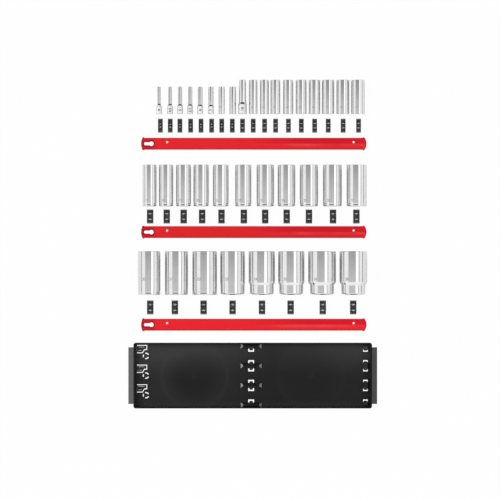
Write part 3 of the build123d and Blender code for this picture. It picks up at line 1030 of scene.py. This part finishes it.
chrome_bright = "F4F4F4"
chrome_soft = "E8E8E8"
chrome_thin_shade = "DEDEDE"
chrome_blasted = "F8F8F8"
chrome_roughness = (0.05, 0.12)
blasted_roughness = 0.5
blasted_metal = 0.1
chrome_sweep = 2.6 * mm
chrome_haze = 14 * mm
polish_marks = (8 * mm, 0.5 * mm)
polish_mark_depth = 0.004 * mm
blast_grain = 0.9 * mm
blast_depth = 0.25 * mm
laser_stroke = 0.7 * mm
chrome, tree, shader, place = start_material("bright_chrome_plate", 0.07, 1)
blasted = add(tree, "ShaderNodeAttribute", attribute_name="blasted").outputs["Fac"]
thin_shade = add(tree, "ShaderNodeAttribute", attribute_name="thin_shade").outputs["Fac"]
along_body = add(tree, "ShaderNodeAttribute", attribute_name="along").outputs["Fac"]
swirl = add(
    tree,
    "ShaderNodeMapping",
    {"Vector": place},
    {"Scale": (1 / polish_marks[0], 1 / polish_marks[1], 1 / polish_marks[0])},
)
marks = add(tree, "ShaderNodeTexNoise", {"Vector": swirl.outputs[0]}, {"Scale": 1, "Detail": 3})
haze = add(tree, "ShaderNodeTexNoise", {"Vector": place}, {"Scale": 1 / chrome_haze})
rough = add(
    tree,
    "ShaderNodeMapRange",
    {"Value": haze.outputs["Fac"]},
    {
        "From Min": 0.3,
        "From Max": 0.7,
        "To Min": chrome_roughness[0],
        "To Max": chrome_roughness[1],
    },
)
rough = add(
    tree,
    "ShaderNodeMix",
    {0: blasted, 2: rough.outputs["Result"]},
    {3: blasted_roughness},
    data_type="FLOAT",
)
metal = add(
    tree, "ShaderNodeMapRange", {"Value": blasted}, {"To Min": 1, "To Max": blasted_metal}
)
shade = add(
    tree,
    "ShaderNodeMix",
    {0: haze.outputs["Fac"]},
    {6: colour(chrome_bright), 7: colour(chrome_soft)},
    data_type="RGBA",
)
# Painted shade: the thinnest shafts are painted a darker chrome.
for share, part_shade in ((thin_shade, chrome_thin_shade), (blasted, chrome_blasted)):
    shade = add(
        tree,
        "ShaderNodeMix",
        {0: share, 6: shade.outputs[2]},
        {7: colour(part_shade)},
        data_type="RGBA",
    )
sweep = add(tree, "ShaderNodeMath", {0: along_body, 1: along_body}, operation="MULTIPLY")
taper = add(
    tree,
    "ShaderNodeBump",
    {"Height": sweep.outputs[0]},
    {"Strength": 1, "Distance": chrome_sweep},
    invert=True,
)
bump = add(
    tree,
    "ShaderNodeBump",
    {"Height": marks.outputs["Fac"], "Normal": taper.outputs["Normal"]},
    {"Strength": 0.1, "Distance": polish_mark_depth},
)
blast = add(
    tree, "ShaderNodeTexNoise", {"Vector": place}, {"Scale": 1 / blast_grain, "Detail": 2}
)
bump = add(
    tree,
    "ShaderNodeBump",
    {"Height": blast.outputs["Fac"], "Strength": blasted, "Normal": bump.outputs["Normal"]},
    {"Distance": blast_depth},
)
tree.links.new(shade.outputs[2], shader.inputs["Base Color"])
tree.links.new(metal.outputs["Result"], shader.inputs["Metallic"])
tree.links.new(rough.outputs[0], shader.inputs["Roughness"])
tree.links.new(bump.outputs["Normal"], shader.inputs["Normal"])


def laser_oxide(name, dark, pale):
    """The oxide that a laser leaves on the plate: a dull grey, uneven along its strokes."""
    made, tree, shader, place = start_material(name, 0.6)
    strokes = add(tree, "ShaderNodeTexNoise", {"Vector": place}, {"Scale": 1 / laser_stroke})
    shade = add(
        tree,
        "ShaderNodeMix",
        {0: strokes.outputs["Fac"]},
        {6: colour(dark), 7: colour(pale)},
        data_type="RGBA",
    )
    tree.links.new(shade.outputs[2], shader.inputs["Base Color"])
    return made


dark_oxide = laser_oxide("laser_mark_dark", "2A2A2C", "565658")
pale_oxide = laser_oxide("laser_mark_pale", "8C8C8E", "B4B4B6")

# The drive square's width and depth and the hub's length, for each family.
socket_forms = {
    "quarter_inch": (6.42 * mm, 9 * mm, 14.7 * mm),
    "three_eighths": (9.6 * mm, 12 * mm, 18.6 * mm),
    "half_inch": (12.78 * mm, 16 * mm, 17.9 * mm),
}
drive_edge = {"quarter_inch": 0.5 * mm, "three_eighths": 0.6 * mm, "half_inch": 2.0 * mm}
nut_edge_share = 0.03
nut_edge_least = 0.35 * mm
lead_width = 1.03
lead_slope = 0.7
least_step = 0.1 * mm
crowned_from = 33
crown_width = 6.5 * mm
crown_height = 2.6 * mm
stepped_size = "33"
step_depth = 0.6 * mm
collar_neck = 5.4 * mm
square_lead = 0.5 * mm
groove_start = 2.3 * mm
groove_slopes = (2.2 * mm, 1.3 * mm)
groove_depth = 0.5 * mm
groove_round = 0.3 * mm
foot_lean = 1.35
neck_drop = {"quarter_inch": 0.73 * mm, "three_eighths": 0.97 * mm}
neck_half = {"quarter_inch": 1.4 * mm, "three_eighths": 1.9 * mm}
neck_taper = 7 * mm
hub_arch = 5.4 * mm
blast_start = 1.6 * mm
blast_edge = 0.2 * mm
blast_turn = 0.9
thin_shade_radii = (3.4 * mm, 5.6 * mm)
socket_edge_turn = 32

# Where the figures' middle lies from the drive end, how tall they are, and how far round the
# body they stand. On a hub they stand at its middle and on its top.
figure_forms = {
    "quarter_inch": (12.5 * mm, 3.6 * mm, -0.25),
    "three_eighths": (12.5 * mm, 3.6 * mm, -0.25),
    "half_inch": (11 * mm, 4.5 * mm, -0.42),
    "large": (29 * mm, 5.5 * mm, -0.5),
}
large_radius = 20 * mm
hub_figure_share = 0.9
hub_figure_most = 5.2 * mm
socket_names = sorted(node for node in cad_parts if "_socket_" in node)
for name in socket_names:
    family, size = name.split("_socket_")
    drive, square_depth, hub_length = socket_forms[family]
    size = size.replace("_", ".")
    flats = float(size) * mm
    low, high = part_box(name)
    centre = ((low.x + high.x) / 2, (low.z + high.z) / 2)
    corners = corners_of(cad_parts[name].data)
    off = np.hypot(corners[:, 0] - centre[0], corners[:, 2] - centre[1])
    hub = off[corners[:, 1] < low.y + least_step].max()
    nut = off[corners[:, 1] > high.y - least_step].max()
    if size == stepped_size:
        hub -= step_depth
    crowned = flats >= crowned_from * mm
    waisted = hub > nut + least_step
    line = [(low.y, drive / 2 + square_lead)]
    reaches = []
    if crowned:
        line += [
            (low.y, hub - crown_width),
            (low.y + crown_height / 2, hub - crown_width / 5),
            (low.y + crown_height, hub),
        ]
        reaches += [(crown_width / 3, crown_width / 3)] + [(crown_height / 3,) * 2] * 2
    else:
        line.append((low.y, hub))
        reaches.append((drive_edge[family], drive_edge[family]))
    if family == "half_inch" and not crowned:
        bottom = low.y + groove_start + groove_slopes[0]
        line += [
            (low.y + groove_start, hub),
            (bottom, hub - groove_depth),
            (bottom + groove_slopes[1], hub),
        ]
        reaches += [(groove_round, groove_round)] * 3
    if waisted:
        fall = hub - nut
        foot = low.y + hub_length + foot_lean * fall
        half, drop = neck_half[family], neck_drop[family]
        neck = min(nut, hub - drop)
        line += [
            (low.y + blast_start, hub),
            (low.y + hub_length - hub_arch / 4, hub),
            (foot - half, neck + drop),
            (foot + half, neck),
            (foot + half + neck_taper, nut),
        ]
        slope = np.hypot(line[-3][0] - line[-4][0], line[-4][1] - line[-3][1])
        reaches += [(blast_edge, blast_edge), (0.75 * hub_arch, 0.6 * slope)]
        reaches += [(0.3 * half, 0.3 * half)] * 3
    elif nut > hub + least_step:
        slope = np.hypot(collar_neck, nut - hub)
        line += [(low.y + hub_length, hub), (low.y + hub_length + collar_neck, nut)]
        reaches += [(collar_neck / 4, slope / 3), (slope / 3, collar_neck / 3)]
    nut_edge = max(nut_edge_share * nut, nut_edge_least)
    lead = flats / 3**0.5 * lead_width
    line += [(high.y, nut), (high.y, lead)]
    reaches.append((nut_edge, nut_edge))
    line = rounded(line, reaches)
    lead_depth = (lead - flats / 2) * lead_slope
    inside = [
        (high.y - lead_depth, flats / 2, hexagon),
        (low.y + square_depth, flats / 2, hexagon),
        (low.y + square_depth, drive / 2, square),
        (low.y + square_lead, drive / 2, square),
    ]
    along = np.concatenate([line[:, 0], [row[0] for row in inside]])
    across = np.concatenate([line[:, 1], [row[1] for row in inside]])
    shapes = np.array([square] + [circle] * (len(line) - 1) + [row[2] for row in inside])
    points, faces = turned(centre, along, across, shapes)
    outside = np.arange(len(along)) < len(line)
    blasted = np.zeros((len(along), len(ring_angles)))
    if waisted:
        arch_top = foot - 0.8 * half
        arch = np.clip((along - arch_top + hub_arch) / hub_arch, 0, 1)
        width = np.sin(blast_turn) * (1 - arch**4) ** 0.25
        width *= outside & (along > low.y + blast_start)
        blasted = np.abs(np.cos(ring_angles)) < width[:, None]
    # Painted shade: the share of darker chrome grows as the shaft gets thinner.
    thin_shade = np.clip((thin_shade_radii[1] - across) / (thin_shade_radii[1] - thin_shade_radii[0]), 0, 1) * outside
    thin_shade = np.repeat(thin_shade, len(ring_angles))
    share = np.repeat((along - low.y) / (high.y - low.y), len(ring_angles))
    if waisted:
        start, tall, turn = hub_length / 2, min(hub_figure_share * hub, hub_figure_most), 0
    else:
        start, tall, turn = figure_forms["large" if nut > large_radius else family]
    radius = hub if start < hub_length else nut
    figures, figure_faces = marked(
        size, tall, centre, low.y + start, radius, turn, not waisted
    )
    mesh = bpy.data.meshes.new(f"{name}_turned")
    mesh.from_pydata(
        np.concatenate([points, figures]),
        [],
        faces.tolist() + (figure_faces + len(points)).tolist(),
    )
    bare = np.zeros(len(figures))
    note(mesh, "blasted", np.concatenate([blasted.reshape(-1), bare]))
    note(mesh, "thin_shade", np.concatenate([thin_shade, bare]))
    note(mesh, "along", np.concatenate([share, bare]))
    figure_slot = np.zeros(len(faces) + len(figure_faces), np.int32)
    figure_slot[len(faces) :] = 1
    mesh.polygons.foreach_set("material_index", figure_slot)
    mesh.shade_smooth()
    mesh.set_sharp_from_angle(angle=radians(socket_edge_turn))
    piece = bpy.data.objects.new(f"{name}_turned", mesh)
    bpy.context.scene.collection.objects.link(piece)
    shading = piece.modifiers.new("even shading", "WEIGHTED_NORMAL")
    shading.keep_sharp = True
    mesh.materials.append(chrome)
    mesh.materials.append(dark_oxide if waisted else pale_oxide)
    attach(piece, name)
    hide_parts(name)

# The layout lies on a white paper sweep under a tent of white cloth with grey gaps, which the
# chrome mirrors as bands. A soft lamp at the upper left gives the faint shadows.
floor_side = 40.0
floor_seen = 0.97
floor_mirrored = 0.2
paper_fibre = 3 * mm
paper_shades = ("EDEDED", "F2F2F2")
floor = bpy.data.objects.new("floor", bpy.data.meshes.new("floor"))
side = floor_side / 2
floor.data.from_pydata(
    [(-side, -side, 0), (side, -side, 0), (side, side, 0), (-side, side, 0)], [], [(0, 1, 2, 3)]
)
bpy.context.scene.collection.objects.link(floor)
paper, tree, shader, place = start_material("white_paper", 0.9, specular=0)
fibres = add(tree, "ShaderNodeTexNoise", {"Vector": place}, {"Scale": 1 / paper_fibre})
shade = add(
    tree,
    "ShaderNodeMix",
    {0: fibres.outputs["Fac"]},
    {6: colour(paper_shades[0]), 7: colour(paper_shades[1])},
    data_type="RGBA",
)
tree.links.new(shade.outputs[2], shader.inputs["Base Color"])
path = add(tree, "ShaderNodeLightPath").outputs
seen = add(
    tree, "ShaderNodeMath", {0: path["Is Camera Ray"]}, {1: floor_seen}, operation="MULTIPLY"
)
mirrored = add(
    tree,
    "ShaderNodeMath",
    {0: path["Is Glossy Ray"], 1: path["Is Transmission Ray"]},
    operation="MAXIMUM",
)
mirrored = add(
    tree, "ShaderNodeMath", {0: mirrored.outputs[0]}, {1: floor_mirrored}, operation="MULTIPLY"
)
share = add(
    tree,
    "ShaderNodeMath",
    {0: seen.outputs[0], 1: mirrored.outputs[0]},
    operation="MAXIMUM",
)
glow = add(tree, "ShaderNodeEmission", (), {"Color": (1, 1, 1, 1), "Strength": 1})
both = add(
    tree,
    "ShaderNodeMixShader",
    {0: share.outputs[0], 1: shader.outputs[0], 2: glow.outputs[0]},
)
tree.links.new(both.outputs[0], tree.nodes["Material Output"].inputs["Surface"])
floor.data.materials.append(paper)

# Round the tent from left to right, a band starts at each angle off straight up and has the
# level after it. The grey card over the middle darkens towards the back. At the tent's two
# ends another level takes over, between two heights of the way along Y.
tent_hem = 0.5
tent_bands = ((-86, 0.3), (-80, 0.96), (-42, 0.61), (22, 1.3), (44, 0.6), (55, 0.93), (80, 0.42))
tent_ends = ((-0.4, -0.55, 1.0), (0.43, 0.475, 0.04))
card_turns = (-42, 22)
card_end_start = 0.2
card_fall = 0.3
band_edge = 1.5
world = bpy.data.worlds.new("tent")
world.use_nodes = True
bpy.context.scene.world = world
tree = world.node_tree
way = add(tree, "ShaderNodeTexCoord").outputs["Generated"]
way = add(tree, "ShaderNodeSeparateXYZ", {"Vector": way}).outputs
turn = add(tree, "ShaderNodeMath", {0: way["X"], 1: way["Z"]}, operation="ARCTAN2")
light = add(tree, "ShaderNodeValue").outputs[0]
light.default_value = tent_hem
card_end = add(
    tree,
    "ShaderNodeMapRange",
    {"Value": way["Y"]},
    {"From Max": card_end_start, "To Max": card_fall},
    interpolation_type="SMOOTHSTEP",
)
level = tent_hem
for angle, next_level in tent_bands:
    rise = add(
        tree,
        "ShaderNodeMapRange",
        {"Value": turn.outputs[0]},
        {
            "From Min": radians(angle - band_edge),
            "From Max": radians(angle + band_edge),
            "To Max": next_level - level,
        },
        interpolation_type="SMOOTHSTEP",
    )
    light = add(
        tree, "ShaderNodeMath", {0: light, 1: rise.outputs["Result"]}, operation="ADD"
    ).outputs[0]
    level = next_level
fall = card_end.outputs["Result"]
for card_turn, operation in zip(card_turns, ("GREATER_THAN", "LESS_THAN")):
    inside = add(
        tree,
        "ShaderNodeMath",
        {0: turn.outputs[0]},
        {1: radians(card_turn)},
        operation=operation,
    )
    fall = add(
        tree, "ShaderNodeMath", {0: fall, 1: inside.outputs[0]}, operation="MULTIPLY"
    ).outputs[0]
light = add(tree, "ShaderNodeMath", {0: light, 1: fall}, operation="SUBTRACT").outputs[0]
for start, end, level in tent_ends:
    beyond = add(
        tree,
        "ShaderNodeMapRange",
        {"Value": way["Y"]},
        {"From Min": start, "From Max": end},
        interpolation_type="SMOOTHSTEP",
    )
    light = add(
        tree,
        "ShaderNodeMix",
        {0: beyond.outputs["Result"], 2: light},
        {3: level},
        data_type="FLOAT",
    ).outputs[0]
to_camera = add(tree, "ShaderNodeLightPath").outputs["Is Camera Ray"]
light = add(
    tree, "ShaderNodeMix", {0: to_camera, 2: light}, {3: 1.0}, data_type="FLOAT"
).outputs[0]
tree.links.new(light, tree.nodes["Background"].inputs["Strength"])
tree.nodes["Background"].inputs["Color"].default_value = (1, 1, 1, 1)

lamp = bpy.data.objects.new("soft_lamp", bpy.data.lights.new("soft_lamp", "SUN"))
lamp.data.energy = 1.3
lamp.data.angle = radians(25)
lamp.rotation_euler = (radians(-22), radians(-38), 0)
lamp.visible_glossy = False
bpy.context.scene.collection.objects.link(lamp)

bpy.context.scene.view_settings.view_transform = "Standard"
